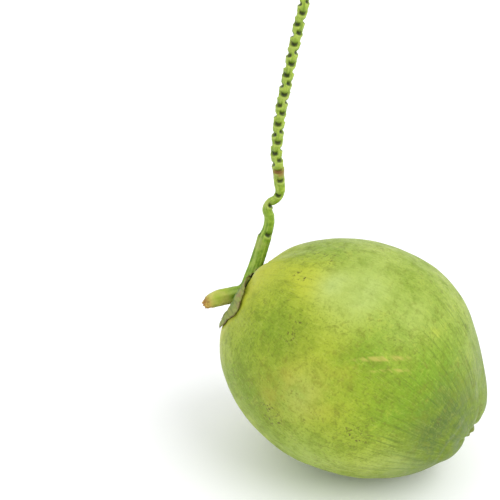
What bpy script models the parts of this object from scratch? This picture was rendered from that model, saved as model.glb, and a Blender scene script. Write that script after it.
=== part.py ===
"""A green coconut, as picked: husk, two whorls of calyx lobes, and the stalk it grew on.

Every piece is modelled upright, in the fruit's own frame: Z is the fruit's axis with the stalk
end up, and the origin is in the middle of its widest ring. One empty then lays the fruit over
onto a small flat spot on its side, so that the spot's middle is the world's origin.
"""
import math

import bmesh
import bpy
from mathutils import Euler, Vector

# Husk
HUSK_RADIUS = 0.0880         # mean radius of the widest ring
STEM_HALF = 0.1055           # widest ring to the stalk end of the full oval
TIP_HALF = 0.0970            # widest ring to the tip of the full oval
TIP_SLIMNESS = 0.30          # how much faster than an ellipse the tip half narrows
RIDGE_HEIGHT = 0.024         # the three soft ridges, as a share of the radius
RIDGE_TURN = math.radians(28)
BOW = 0.0050                 # sideways bulge of the fruit's middle
BOW_TURN = math.radians(35.8)
BOW_TOWARDS_TIP = 1.1

# Shallow bowl in the stalk end, where the calyx sits
BOWL_FLOOR = 0.0900          # widest ring to the middle of the bowl
BOWL_RISE = 0.0065           # from its middle to its rim
BOWL_RADIUS = 0.0260
BOWL_BLEND = 0.0012          # how softly bowl and oval meet
DENT_DEPTH = 0.0040          # dip in the bowl's rim, under the spikelet
DENT_TURN = math.radians(44)
DENT_HALF_ANGLE = math.radians(32)
DENT_RADIUS = 0.0300
DENT_WIDTH = 0.0140

# Blunt tip: a sunk scar with a small nub, a little aside of the axis, between the ends of the ridges
TIP_SINK = 0.0042
TIP_SINK_RADIUS = 0.0085
TIP_LOBE_HEIGHT = 0.0050
TIP_LOBE_RADIUS = 0.0320
TIP_LOBE_WIDTH = 0.0190
NUB_ASIDE = 0.0080           # the scar's distance from the axis, the way the fruit bows
NUB_HEIGHT = 0.0054
NUB_RADIUS = 0.0054

# How the fruit lies
AXIS_DIP = math.radians(26.7)  # the axis falls this much from the stalk end to the tip
FLAT_DEPTH = 0.0018          # height of the husk's side that the flat spot takes off

# Calyx: three petals on the husk, and three smaller sepals on the petals
LOBE_THICKNESS = 0.0011
LOBE_GAP = 0.0005            # clear space below each layer
SHINGLE_STEP = 0.0024        # each petal climbs this much across, over its neighbour's edge
LOBE_NARROWING = 0.24        # how much less a lobe reaches at its sides
PETAL_ROOT = 0.0088          # where the petals start, round the stalk's foot
PETAL_REACH = 0.0330
PETAL_HALF_ANGLE = math.radians(70)
PETAL_SKEW = 0.21            # how much further a petal reaches on the side that is tucked under
PETAL_HUMP = 0.0004
SEPAL_ROOT = 0.0105
SEPAL_REACH = 0.0250
SEPAL_HALF_ANGLE = math.radians(31)
SEPAL_HUMP = 0.0026
SEPAL_LIFT = 0.0046          # underside of the sepals above the husk
WHORL_TURN = math.radians(50)

# Stalk: a stub on one side of the fruit's end, and the long spikelet on the other.
# Each point is x, y, z and the stalk's radius there, all in millimetres.
STALK_ROUTE = (
    (-15.5, -22.0, 118.0, 2.4),
    (-12.0, -18.0, 116.0, 5.2),
    (-8.5, -13.5, 112.5, 6.2),
    (-4.0, -6.5, 105.5, 6.2),
    (0.0, 0.5, 100.0, 6.0),
    (9.5, 12.0, 102.5, 5.3),
    (26.0, 20.0, 107.0, 5.3),
    (36.0, 22.5, 109.5, 5.1),
    (43.5, 24.5, 111.0, 4.6),
    (51.5, 25.5, 114.5, 4.4),
    (56.5, 25.5, 119.0, 4.2),
    (61.5, 26.5, 119.5, 3.9),
    (67.5, 28.0, 117.0, 3.8),
    (73.5, 28.5, 117.5, 3.9),
    (80.0, 28.5, 121.5, 4.1),
    (88.0, 28.5, 126.5, 4.0),
    (98.0, 28.0, 133.0, 3.9),
    (108.5, 28.5, 138.0, 3.9),
    (130.5, 29.5, 146.5, 3.8),
    (155.5, 32.0, 154.5, 3.7),
    (181.5, 36.0, 163.0, 3.6),
    (207.5, 40.0, 171.0, 3.5),
    (234.0, 46.0, 180.5, 2.4),
    (246.0, 49.5, 186.0, 1.3),
)
JUNCTION = 4                 # the route's point over the middle of the calyx
FOOT_RADIUS = 0.0072         # the stalk's foot, down through the calyx
FOOT_CLEARANCE = 0.0006      # left between the foot and the husk

# Fineness of the meshes
HUSK_SEGMENTS = 64
HUSK_RINGS = 56
POLE_CROWDING = 0.12         # draws the husk's rings together towards its two ends
LOBE_COLUMNS = 16
LOBE_ROWS = 12
STALK_STEPS = 4
STALK_BEVEL_STEPS = 3
FOOT_SEGMENTS = 20

COLLECTION = "green_coconut"


def make_material(name, colour, roughness):
    material = bpy.data.materials.new(name)
    material.use_nodes = True
    shader = material.node_tree.nodes["Principled BSDF"]
    shader.inputs["Base Color"].default_value = (*colour, 1.0)
    shader.inputs["Roughness"].default_value = roughness
    shader.inputs["Metallic"].default_value = 0.0
    return material


def finish_piece(piece, collection, parent, material):
    """File a piece under its collection and parent, give it its material, and smooth it."""
    for owner in piece.users_collection:
        owner.objects.unlink(piece)
    collection.objects.link(piece)
    piece.parent = parent
    if material:
        piece.data.materials.append(material)
    if piece.type == "MESH":
        piece.data.shade_smooth()
        piece.data.set_sharp_from_angle(angle=math.radians(40))


def bump(distance, width):
    return math.exp(-(distance / width) ** 2)


def soft_lower(a, b, blend):
    """The lower of two heights, rounded where they meet."""
    return 0.5 * (a + b - math.sqrt((a - b) ** 2 + blend ** 2))


def end_height(radius, turn):
    """Height of the husk's stalk end, at a distance from the axis and a turn round it."""
    oval = STEM_HALF * math.sqrt(max(0.0, 1 - (radius / HUSK_RADIUS) ** 2))
    bowl = BOWL_FLOOR + BOWL_RISE * (radius / BOWL_RADIUS) ** 2
    aside = math.remainder(turn - DENT_TURN, 2 * math.pi)
    dent = DENT_DEPTH * bump(aside, DENT_HALF_ANGLE) * bump(radius - DENT_RADIUS, DENT_WIDTH)
    return soft_lower(oval, bowl, BOWL_BLEND) - dent


def husk_point(polar, turn):
    """A point of the husk: polar is 0 at the stalk end and pi at the tip."""
    along = math.cos(polar)
    ridge = math.cos(3 * (turn - RIDGE_TURN))
    middle = math.sin(polar) ** 2
    if along > 0:
        radius = HUSK_RADIUS * math.sin(polar)
        height = end_height(radius, turn)
        ridge_share = middle
    else:
        narrowing = along ** 2 * (1 + TIP_SLIMNESS) - TIP_SLIMNESS * along ** 4
        radius = HUSK_RADIUS * math.sqrt(max(0.0, 1 - narrowing))
        from_nub = turn - BOW_TURN
        aside = math.hypot(radius * math.cos(from_nub) - NUB_ASIDE, radius * math.sin(from_nub))
        sink = TIP_SINK * bump(aside, TIP_SINK_RADIUS)
        lobe = TIP_LOBE_HEIGHT * max(0.0, ridge) * bump(radius - TIP_LOBE_RADIUS, TIP_LOBE_WIDTH)
        nub = NUB_HEIGHT * math.exp(-(aside / NUB_RADIUS) ** 4)
        height = TIP_HALF * along + sink - lobe - nub
        ridge_share = math.sqrt(middle)
    radius *= 1 + RIDGE_HEIGHT * ridge * ridge_share
    bow = BOW * middle * (1 - BOW_TOWARDS_TIP * along)
    x = radius * math.cos(turn) + bow * math.cos(BOW_TURN)
    y = radius * math.sin(turn) + bow * math.sin(BOW_TURN)
    return Vector((x, y, height))


def make_husk(lay):
    """The husk, with a flat spot cut square to the ground. Returns it and the spot's middle."""
    bpy.ops.mesh.primitive_uv_sphere_add(segments=HUSK_SEGMENTS, ring_count=HUSK_RINGS, radius=1)
    husk = bpy.context.object
    husk.name = "coconut_husk"
    shape = bmesh.new()
    shape.from_mesh(husk.data)
    for vertex in shape.verts:
        even = math.acos(max(-1.0, min(1.0, vertex.co.z))) / math.pi
        polar = math.pi * (even - POLE_CROWDING * math.sin(2 * math.pi * even))
        turn = math.atan2(vertex.co.y, vertex.co.x)
        vertex.co = husk_point(polar, turn)

    down = lay.inverted() @ Vector((0, 0, -1))
    lowest = max(vertex.co.dot(down) for vertex in shape.verts)
    plane_point = down * (lowest - FLAT_DEPTH)
    everything = shape.verts[:] + shape.edges[:] + shape.faces[:]
    bmesh.ops.bisect_plane(shape, geom=everything, plane_co=plane_point, plane_no=down, clear_outer=True)
    rim = [edge for edge in shape.edges if edge.is_boundary]
    cap = bmesh.ops.contextual_create(shape, geom=rim)["faces"][0]
    spot = cap.calc_center_median_weighted()
    bmesh.ops.recalc_face_normals(shape, faces=shape.faces[:])
    shape.to_mesh(husk.data)
    shape.free()
    return husk, spot


def make_lobe(name, turn, half_angle, root, reach, skew, lift, climb, hump):
    """A curved leathery lobe that lies on the bowl: a sheet, thickened upwards."""
    bpy.ops.mesh.primitive_grid_add(x_subdivisions=LOBE_COLUMNS, y_subdivisions=LOBE_ROWS, size=2)
    lobe = bpy.context.object
    lobe.name = name
    for vertex in lobe.data.vertices:
        across = vertex.co.x
        out = (1 - vertex.co.y) / 2
        edge = reach * (1 - skew * across - LOBE_NARROWING * across ** 4)
        radius = root + (edge - root) * out
        angle = turn + half_angle * across
        cupping = hump * math.sin(math.pi * out) * (1 - 0.7 * across ** 2)
        height = end_height(radius, angle) + lift + climb * (across + 1) / 2 + cupping
        vertex.co = (radius * math.cos(angle), radius * math.sin(angle), height)
    thicken = lobe.modifiers.new("Thickness", "SOLIDIFY")
    thicken.thickness = LOBE_THICKNESS
    thicken.offset = 1.0
    thicken.use_even_offset = True
    return lobe


def make_stalk_tube():
    """The stub and the spikelet: one curve, as thick at each point as its radius."""
    curve = bpy.data.curves.new("stalk_line", "CURVE")
    curve.dimensions = "3D"
    curve.resolution_u = STALK_STEPS
    curve.bevel_depth = 0.001
    curve.bevel_resolution = STALK_BEVEL_STEPS
    curve.use_fill_caps = True
    spline = curve.splines.new("BEZIER")
    spline.bezier_points.add(len(STALK_ROUTE) - 1)
    for point, (x, y, z, radius) in zip(spline.bezier_points, STALK_ROUTE):
        point.co = Vector((x, y, z)) / 1000
        point.radius = radius
        point.handle_left_type = "AUTO"
        point.handle_right_type = "AUTO"
    line = bpy.data.objects.new("stalk_line", curve)
    bpy.context.scene.collection.objects.link(line)
    bpy.context.view_layer.update()

    evaluated = line.evaluated_get(bpy.context.evaluated_depsgraph_get())
    mesh = bpy.data.meshes.new_from_object(evaluated)
    welded = bmesh.new()
    welded.from_mesh(mesh)
    bmesh.ops.remove_doubles(welded, verts=welded.verts, dist=1e-6)
    bmesh.ops.recalc_face_normals(welded, faces=welded.faces[:])
    welded.to_mesh(mesh)
    welded.free()
    bpy.data.objects.remove(line)
    return bpy.data.objects.new("stalk", mesh)


def make_stalk_foot():
    """The cone that joins the stalk to the middle of the fruit's end."""
    low = BOWL_FLOOR + FOOT_CLEARANCE
    top = STALK_ROUTE[JUNCTION][2] / 1000
    bpy.ops.mesh.primitive_cone_add(vertices=FOOT_SEGMENTS, radius1=FOOT_RADIUS, radius2=FOOT_RADIUS * 0.7,
                                    depth=top - low, location=(0, 0, (top + low) / 2))
    foot = bpy.context.object
    foot.name = "stalk_foot_guide"
    foot.hide_render = True
    foot.display_type = "WIRE"
    return foot


def main():
    for item in list(bpy.data.objects):
        bpy.data.objects.remove(item, do_unlink=True)
    parts = bpy.data.collections.new(COLLECTION)
    guides = bpy.data.collections.new("guides")
    bpy.context.scene.collection.children.link(parts)
    bpy.context.scene.collection.children.link(guides)

    husk_skin = make_material("husk_skin", (0.330, 0.480, 0.060), 0.42)
    petal_skin = make_material("petal_skin", (0.120, 0.190, 0.060), 0.62)
    sepal_skin = make_material("sepal_skin", (0.200, 0.210, 0.110), 0.68)
    stalk_skin = make_material("stalk_skin", (0.300, 0.430, 0.080), 0.50)

    lean = Euler((0, AXIS_DIP - math.pi / 2, 0))
    husk, spot = make_husk(lean.to_matrix())
    fruit = bpy.data.objects.new("fruit_axis", None)
    parts.objects.link(fruit)
    fruit.rotation_euler = lean
    fruit.location = -(lean.to_matrix() @ spot)
    finish_piece(husk, parts, fruit, husk_skin)

    for number in range(3):
        turn = WHORL_TURN + math.radians(120 * number)
        petal = make_lobe(f"calyx_petal_{number + 1}", turn, PETAL_HALF_ANGLE, PETAL_ROOT, PETAL_REACH,
                          PETAL_SKEW, LOBE_GAP, SHINGLE_STEP, PETAL_HUMP)
        finish_piece(petal, parts, fruit, petal_skin)
        sepal = make_lobe(f"calyx_sepal_{number + 1}", turn + math.pi / 3, SEPAL_HALF_ANGLE, SEPAL_ROOT,
                          SEPAL_REACH, 0, SEPAL_LIFT, 0, SEPAL_HUMP)
        finish_piece(sepal, parts, fruit, sepal_skin)

    stalk = make_stalk_tube()
    finish_piece(stalk, parts, fruit, stalk_skin)
    foot = make_stalk_foot()
    finish_piece(foot, guides, fruit, None)
    join = stalk.modifiers.new("Foot", "BOOLEAN")
    join.operation = "UNION"
    join.solver = "EXACT"
    join.object = foot


main()
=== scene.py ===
"""The looks of a green coconut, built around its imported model.

Lengths are in metres unless a name ends in _MM. Every piece is modelled in the fruit's own frame,
Z along the fruit's axis with the stalk end up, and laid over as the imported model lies.
"""
import math
from collections import namedtuple

import bmesh
import bpy
import numpy as np
from mathutils import Euler, Matrix, Vector, noise


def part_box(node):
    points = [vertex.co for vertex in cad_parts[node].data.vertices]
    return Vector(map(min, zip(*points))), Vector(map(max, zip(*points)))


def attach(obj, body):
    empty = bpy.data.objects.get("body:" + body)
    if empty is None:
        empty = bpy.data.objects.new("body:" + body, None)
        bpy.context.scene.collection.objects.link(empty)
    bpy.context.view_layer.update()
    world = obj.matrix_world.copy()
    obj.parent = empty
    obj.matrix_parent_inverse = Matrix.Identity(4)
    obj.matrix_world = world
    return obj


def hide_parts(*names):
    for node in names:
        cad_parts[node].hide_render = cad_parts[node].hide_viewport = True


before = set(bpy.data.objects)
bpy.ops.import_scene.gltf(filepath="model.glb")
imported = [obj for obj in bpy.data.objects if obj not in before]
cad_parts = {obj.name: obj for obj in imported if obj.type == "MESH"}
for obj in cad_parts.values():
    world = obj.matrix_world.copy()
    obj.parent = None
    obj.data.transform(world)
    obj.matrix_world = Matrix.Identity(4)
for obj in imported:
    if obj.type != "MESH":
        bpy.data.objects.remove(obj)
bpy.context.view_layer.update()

# Husk shape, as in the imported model
HUSK_RADIUS = 0.0880
STEM_HALF = 0.1055
TIP_HALF = 0.0970
TIP_SLIMNESS = 0.30
RIDGE_HEIGHT = 0.024
RIDGE_TURN = math.radians(28)
BOW = 0.0050
BOW_TURN = math.radians(35.8)
BOW_TOWARDS_TIP = 1.1
BOWL_FLOOR = 0.0900
BOWL_RISE = 0.0065
BOWL_RADIUS = 0.0260
BOWL_BLEND = 0.0012
DENT_DEPTH = 0.0040
DENT_TURN = math.radians(44)
DENT_HALF_ANGLE = math.radians(32)
DENT_RADIUS = 0.0300
DENT_WIDTH = 0.0140
TIP_SINK = 0.0042
TIP_SINK_RADIUS = 0.0085
TIP_LOBE_HEIGHT = 0.0050
TIP_LOBE_RADIUS = 0.0320
TIP_LOBE_WIDTH = 0.0190
NUB_ASIDE = 0.0080
NUB_HEIGHT = 0.0054
NUB_RADIUS = 0.0054
AXIS_DIP = math.radians(26.7)
POLE_CROWDING = 0.12

# Calyx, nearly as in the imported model: its lobes also stand off, hang over and draw back here
Lobe = namedtuple("Lobe", "half_angle root reach skew lift climb hump flare")
PETAL = Lobe(half_angle=math.radians(70), root=0.0088, reach=0.0330, skew=0.21,
             lift=0.0003, climb=0.0024, hump=0.0004, flare=0.0008)
SEPAL = Lobe(half_angle=math.radians(34), root=0.0100, reach=0.0270, skew=0.0,
             lift=0.0044, climb=0.0, hump=0.0026, flare=0.0)
WHORL_TURN = math.radians(50)
WHORL_SIZE = 3
LOBE_NARROWING = 0.24
FLARE_TURN = math.radians(-138)   # the petals stand off the husk on this side
FLARE_HALF_ANGLE = math.radians(42)
FLAP_TURN = math.radians(-65)     # a torn flap hangs over the bowl's rim on this one
FLAP_HALF_ANGLE = math.radians(26)
FLAP_REACH = 0.0100
TUCK_TURN = math.radians(18)      # and on this one, behind the stem, the lobes reach less far
TUCK_HALF_ANGLE = math.radians(34)
TUCK_REACH = 0.0075

# Stalk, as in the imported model: x, y, z and radius, in millimetres
STALK_ROUTE_MM = (
    (-15.5, -22.0, 118.0, 2.4),
    (-12.0, -18.0, 116.0, 5.2),
    (-8.5, -13.5, 112.5, 6.2),
    (-4.0, -6.5, 105.5, 6.2),
    (0.0, 0.5, 100.0, 6.0),
    (9.5, 12.0, 102.5, 5.3),
    (26.0, 20.0, 107.0, 5.3),
    (36.0, 22.5, 109.5, 5.1),
    (43.5, 24.5, 111.0, 4.6),
    (51.5, 25.5, 114.5, 4.4),
    (56.5, 25.5, 119.0, 4.2),
    (61.5, 26.5, 119.5, 3.9),
    (67.5, 28.0, 117.0, 3.8),
    (73.5, 28.5, 117.5, 3.9),
    (80.0, 28.5, 121.5, 4.1),
    (88.0, 28.5, 126.5, 4.0),
    (98.0, 28.0, 133.0, 3.9),
    (108.5, 28.5, 138.0, 3.9),
    (130.5, 29.5, 146.5, 3.8),
    (155.5, 32.0, 154.5, 3.7),
    (181.5, 36.0, 163.0, 3.6),
    (207.5, 40.0, 171.0, 3.5),
    (234.0, 46.0, 180.5, 2.4),
    (246.0, 49.5, 186.0, 1.3),
)

# Camera
VIEW_AZIMUTH = math.radians(17)
VIEW_ELEVATION = math.radians(32)
VIEW_DISTANCE = 0.9896
AIM_LEFT = 0.0824
AIM_UP = 0.0835
LENS_MM = 95

HUSK_RINGS = 300
HUSK_SEGMENTS = 320
WAVE_COUNT = 14
MM = 0.001
LEAN = Euler((0, AXIS_DIP - math.pi / 2, 0))
BODY = "root"


# -------------------- shape helpers

def bump(distance, width):
    """A smooth bump of height 1 where the distance is 0."""
    return np.exp(-(distance / width) ** 2)


def smooth(low, high, value):
    """A smooth step from 0 at low to 1 at high."""
    share = np.clip((value - low) / (high - low), 0, 1)
    return share * share * (3 - 2 * share)


def angle_from(turn, middle):
    """The angle from middle to turn, from minus to plus half a turn."""
    return (turn - middle + math.pi) % (2 * math.pi) - math.pi


def waves(points, size, seed):
    """Smooth, seeded waviness of about unit height, with features of about the given size."""
    dice = np.random.default_rng(seed)
    total = np.zeros(len(points))
    for _ in range(WAVE_COUNT):
        heading = dice.normal(size=3)
        heading /= np.linalg.norm(heading)
        pace = 2 * math.pi / (size * dice.uniform(1.4, 3.0))
        total += np.sin(points @ heading * pace + dice.uniform(0, 2 * math.pi))
    return total / math.sqrt(WAVE_COUNT / 2)


def perlin(points, size, seed):
    """Seeded gradient noise, -1 to 1, with features of the given size."""
    away = Vector((seed * 7.31, seed * 3.77, seed * 5.13))
    return np.array([noise.noise(Vector(point) / size + away) for point in points])


def soft_lower(a, b, blend):
    """The lower of two heights, rounded where they cross."""
    return 0.5 * (a + b - np.sqrt((a - b) ** 2 + blend ** 2))


def end_height(radius, turn):
    """Height of the stalk end's smooth shape, with its bowl and the dip in the bowl's rim."""
    oval = STEM_HALF * np.sqrt(np.clip(1 - (radius / HUSK_RADIUS) ** 2, 0, 1))
    bowl = BOWL_FLOOR + BOWL_RISE * (radius / BOWL_RADIUS) ** 2
    dent = bump(angle_from(turn, DENT_TURN), DENT_HALF_ANGLE) * bump(radius - DENT_RADIUS, DENT_WIDTH)
    return soft_lower(oval, bowl, BOWL_BLEND) - DENT_DEPTH * dent


def from_nub(x, y):
    """Distance from the line through the nub at the tip, and the turn round it."""
    beside = x - NUB_ASIDE * math.cos(BOW_TURN)
    across = y - NUB_ASIDE * math.sin(BOW_TURN)
    return np.hypot(beside, across), np.arctan2(across, beside)


def husk_points(polar, turn):
    """The husk's smooth shape, in the fruit's frame."""
    along = np.cos(polar)
    ridge = np.cos(3 * (turn - RIDGE_TURN))
    middle = np.sin(polar) ** 2
    stem_side = along > 0
    narrowing = along ** 2 * (1 + TIP_SLIMNESS) - TIP_SLIMNESS * along ** 4
    round_radius = HUSK_RADIUS * np.sin(polar)
    tip_radius = HUSK_RADIUS * np.sqrt(np.clip(1 - narrowing, 0, 1))
    aside, _ = from_nub(tip_radius * np.cos(turn), tip_radius * np.sin(turn))
    sink = TIP_SINK * bump(aside, TIP_SINK_RADIUS)
    lobe = TIP_LOBE_HEIGHT * np.clip(ridge, 0, 1) * bump(tip_radius - TIP_LOBE_RADIUS, TIP_LOBE_WIDTH)
    nub = NUB_HEIGHT * np.exp(-(aside / NUB_RADIUS) ** 4)
    tip_height = TIP_HALF * along + sink - lobe - nub
    height = np.where(stem_side, end_height(round_radius, turn), tip_height)
    ridge_share = np.where(stem_side, middle, np.sqrt(middle))
    radius = np.where(stem_side, round_radius, tip_radius) * (1 + RIDGE_HEIGHT * ridge * ridge_share)
    bow = BOW * middle * (1 - BOW_TOWARDS_TIP * along)
    x = radius * np.cos(turn) + bow * math.cos(BOW_TURN)
    y = radius * np.sin(turn) + bow * math.sin(BOW_TURN)
    return np.stack([x, y, height], axis=-1)


def lean_matrix():
    """The turn from the fruit's own frame to the way it lies."""
    return np.array(LEAN.to_matrix())


def husk_grid():
    """Angles from the stalk end, closer together near both ends, and turns round the axis."""
    even = np.arange(1, HUSK_RINGS) / HUSK_RINGS
    polar = math.pi * (even - POLE_CROWDING * np.sin(2 * math.pi * even))
    turn = np.arange(HUSK_SEGMENTS) * 2 * math.pi / HUSK_SEGMENTS
    return np.meshgrid(polar, turn, indexing="ij")


def find_place():
    """Where the fruit's own origin is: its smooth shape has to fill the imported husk's box."""
    polar, turn = husk_grid()
    laid = husk_points(polar, turn).reshape(-1, 3) @ lean_matrix().T
    low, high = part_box("coconut_husk")
    x = (low.x + high.x - laid[:, 0].min() - laid[:, 0].max()) / 2
    y = (low.y + high.y - laid[:, 1].min() - laid[:, 1].max()) / 2
    z = high.z - laid[:, 2].max()
    return Vector((x, y, z))


PLACE = find_place()


def new_mesh_object(name, points, faces, attributes=None):
    """A smooth-shaded piece from points in the fruit's frame, laid over as the fruit lies."""
    mesh = bpy.data.meshes.new(name)
    laid = np.asarray(points) @ lean_matrix().T + np.array(PLACE)
    mesh.from_pydata(laid.tolist(), [], faces)
    for key, values in (attributes or {}).items():
        layer = mesh.attributes.new(key, "FLOAT", "POINT")
        layer.data.foreach_set("value", np.asarray(values, np.float32))
    mesh.validate()
    mesh.update()
    mesh.shade_smooth()
    piece = bpy.data.objects.new(name, mesh)
    bpy.context.scene.collection.objects.link(piece)
    return piece


def grid_faces(rows, columns, closed=False):
    """Quads between rows of points; closed joins each row's last point to its first."""
    faces = []
    for row in range(rows - 1):
        for column in range(columns if closed else columns - 1):
            following = (column + 1) % columns
            a = row * columns + column
            b = row * columns + following
            faces.append((a, a + columns, b + columns, b))
    return faces


def end_fans(rows, columns, top, bottom):
    """Triangles from a tube's first and last rows to the middle point of each end."""
    faces = []
    last = (rows - 1) * columns
    for column in range(columns):
        following = (column + 1) % columns
        faces.append((top, column, following))
        faces.append((bottom, last + following, last + column))
    return faces


def fix_normals(piece):
    """Turn every face outwards."""
    shape = bmesh.new()
    shape.from_mesh(piece.data)
    bmesh.ops.recalc_face_normals(shape, faces=shape.faces[:])
    shape.to_mesh(piece.data)
    shape.free()


# -------------------- node helpers

BLOTCH_SLANT = 0.75           # how far a blotch's long side leans from the fruit's axis


class Nodes:
    """A material's node tree, with short ways to add the nodes used here."""

    def __init__(self, name):
        self.material = bpy.data.materials.new(name)
        self.material.use_nodes = True
        self.tree = self.material.node_tree
        self.shader = self.tree.nodes["Principled BSDF"]

    def add(self, kind, **settings):
        node = self.tree.nodes.new(kind)
        for key, value in settings.items():
            setattr(node, key, value)
        return node

    def join(self, source, target):
        self.tree.links.new(source, target)

    def feed(self, socket, value):
        if isinstance(value, bpy.types.NodeSocket):
            self.join(value, socket)
        else:
            socket.default_value = value

    def fruit_coordinates(self):
        """The place in the fruit's own frame, upright, with the stalk end up."""
        node = self.add("ShaderNodeMapping", vector_type="TEXTURE")
        self.join(self.add("ShaderNodeTexCoord").outputs["Object"], node.inputs["Vector"])
        node.inputs["Location"].default_value = PLACE
        node.inputs["Rotation"].default_value = LEAN
        return node.outputs["Vector"]

    def attribute(self, name):
        return self.add("ShaderNodeAttribute", attribute_name=name).outputs["Fac"]

    def math(self, operation, a, b):
        node = self.add("ShaderNodeMath", operation=operation)
        self.feed(node.inputs[0], a)
        self.feed(node.inputs[1], b)
        return node.outputs[0]

    def noise(self, where, scale, detail, roughness=0.5, distortion=0.0):
        node = self.add("ShaderNodeTexNoise")
        self.feed(node.inputs["Vector"], where)
        self.feed(node.inputs["Scale"], scale)
        self.feed(node.inputs["Detail"], detail)
        self.feed(node.inputs["Roughness"], roughness)
        self.feed(node.inputs["Distortion"], distortion)
        return node.outputs["Fac"]

    def cells(self, where, scale):
        """Distance from the nearest of many scattered points."""
        node = self.add("ShaderNodeTexVoronoi")
        self.feed(node.inputs["Vector"], where)
        self.feed(node.inputs["Scale"], scale)
        return node.outputs["Distance"]

    def spread(self, value, low, high, to_low=0.0, to_high=1.0):
        """A smooth step from to_low, where the value is low, to to_high, where it is high."""
        node = self.add("ShaderNodeMapRange", interpolation_type="SMOOTHSTEP")
        self.feed(node.inputs["Value"], value)
        self.feed(node.inputs["From Min"], low)
        self.feed(node.inputs["From Max"], high)
        self.feed(node.inputs["To Min"], to_low)
        self.feed(node.inputs["To Max"], to_high)
        return node.outputs["Result"]

    def mix(self, share, a, b):
        node = self.add("ShaderNodeMix", data_type="RGBA")
        self.feed(node.inputs["Factor"], share)
        self.feed(node.inputs["A"], a)
        self.feed(node.inputs["B"], b)
        return node.outputs["Result"]

    def tinted(self, colour, name, strength, tint):
        """The colour, changed towards the tint where the attribute says so."""
        return self.mix(self.math("MULTIPLY", self.attribute(name), strength), colour, tint)

    def lengthwise(self, where, squeeze):
        """Coordinates that change slowly along the fruit's axis, for fibres that run from end to end."""
        flat = self.add("ShaderNodeVectorMath", operation="MULTIPLY")
        self.join(where, flat.inputs[0])
        flat.inputs[1].default_value = (1, 1, 0)
        ring = self.add("ShaderNodeVectorMath", operation="NORMALIZE")
        self.join(flat.outputs[0], ring.inputs[0])
        ring_place = self.add("ShaderNodeVectorMath", operation="SCALE")
        self.join(ring.outputs[0], ring_place.inputs[0])
        ring_place.inputs["Scale"].default_value = HUSK_RADIUS
        result = self.add("ShaderNodeVectorMath", operation="MULTIPLY_ADD")
        self.join(where, result.inputs[0])
        result.inputs[1].default_value = (squeeze,) * 3
        self.join(ring_place.outputs[0], result.inputs[2])
        return result.outputs[0]

    def blotch(self, where, middle_mm, half_sizes_mm):
        """A soft-edged blotch: its longest side lies along the skin, towards the tip and away from it."""
        middle = Vector(middle_mm) * MM
        outward = Vector((middle.x, middle.y, 0)).normalized()
        sideways = Vector((0, 0, 1)).cross(outward)
        slant = (Vector((0, 0, -1)) + BLOTCH_SLANT * sideways).normalized()
        across = outward.cross(slant)
        turn = Matrix((slant, across, outward)).transposed()
        node = self.add("ShaderNodeMapping", vector_type="TEXTURE")
        self.join(where, node.inputs["Vector"])
        node.inputs["Location"].default_value = middle
        node.inputs["Rotation"].default_value = turn.to_euler()
        node.inputs["Scale"].default_value = [size * MM for size in half_sizes_mm]
        length = self.add("ShaderNodeVectorMath", operation="LENGTH")
        self.join(node.outputs[0], length.inputs[0])
        return self.spread(length.outputs["Value"], 1.0, 0.35)

    def bump(self, height, distance, strength, below):
        node = self.add("ShaderNodeBump")
        node.inputs["Strength"].default_value = strength
        node.inputs["Distance"].default_value = distance
        self.feed(node.inputs["Height"], height)
        if below is not None:
            self.join(below, node.inputs["Normal"])
        return node.outputs["Normal"]

    def finished(self, colour, roughness, specular, reliefs):
        """The material, with its shader set; each relief is a pattern, its height and its strength."""
        self.join(colour, self.shader.inputs["Base Color"])
        self.join(roughness, self.shader.inputs["Roughness"])
        self.shader.inputs["Specular IOR Level"].default_value = specular
        surface = None
        for pattern, height, strength in reliefs:
            surface = self.bump(pattern, height, strength, surface)
        self.join(surface, self.shader.inputs["Normal"])
        return self.material


def rgb(red, green, blue):
    """A colour given as display values from 0 to 255, as the shader's linear values."""
    linear = []
    for value in (red, green, blue):
        share = value / 255
        linear.append(share / 12.92 if share <= 0.04045 else ((share + 0.055) / 1.055) ** 2.4)
    return (*linear, 1.0)


# -------------------- husk

# Relief of the real skin over the smooth shape: heights and reaches in millimetres, turns in degrees
SKIN_WAVES = ((0.50, 0.055, 1), (0.20, 0.020, 2), (0.05, 0.008, 3))  # height, size in metres, seed
SHOULDER_FOLDS = ((1.8, -23, 9), (-1.7, 3, 12))                      # height, turn, half angle
SHOULDER_FLUTES = ((0.45, 7, 0.8), (0.25, 13, 2.1))                  # height, count, phase
TIP_SWELLS = ((2.2, 2, 26, 27, 13), (-2.7, -103, 34, 26, 15))        # height, turn, half angle, reach, width
TIP_RIPPLES = 0.45
CREASE_TURNS = (-82, 165, 105)
CREASE_DEPTH = 1.3
CREASE_HALF_ANGLE = 10       # at this distance from the nub's middle
CREASE_DISTANCE = 9
CREASE_RIPPLES = 0.30
LIP_TURN = -66
LIP_HALF_ANGLE = 34
LIP_RINGS = ((0.55, -82.5, 1.8), (-0.60, -86.0, 1.5))                # height, place on the axis, width
NUB_RINGS = ((-0.5, 7.0, 1.3, 1.0), (0.5, 11.0, 2.6, 0.6))           # height, reach, width, evenness
NUB_MM = 5.0
NUB_SINK = 1.1
NUB_SEGMENTS = 0.50
NUB_GRAIN = (0.30, 0.0030, 5)                                        # height, size in metres, seed


def shoulder_relief(turn, height, reach):
    """Folds and flutes round the bowl at the stalk end."""
    relief = np.zeros(len(turn))
    for size, middle, half_angle in SHOULDER_FOLDS:
        relief += size * bump(angle_from(turn, math.radians(middle)), math.radians(half_angle))
    for size, count, phase in SHOULDER_FLUTES:
        relief += size * np.cos(count * turn + phase)
    return relief * smooth(26, 36, reach) * (1 - smooth(52, 78, reach)) * (height > 0)


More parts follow.
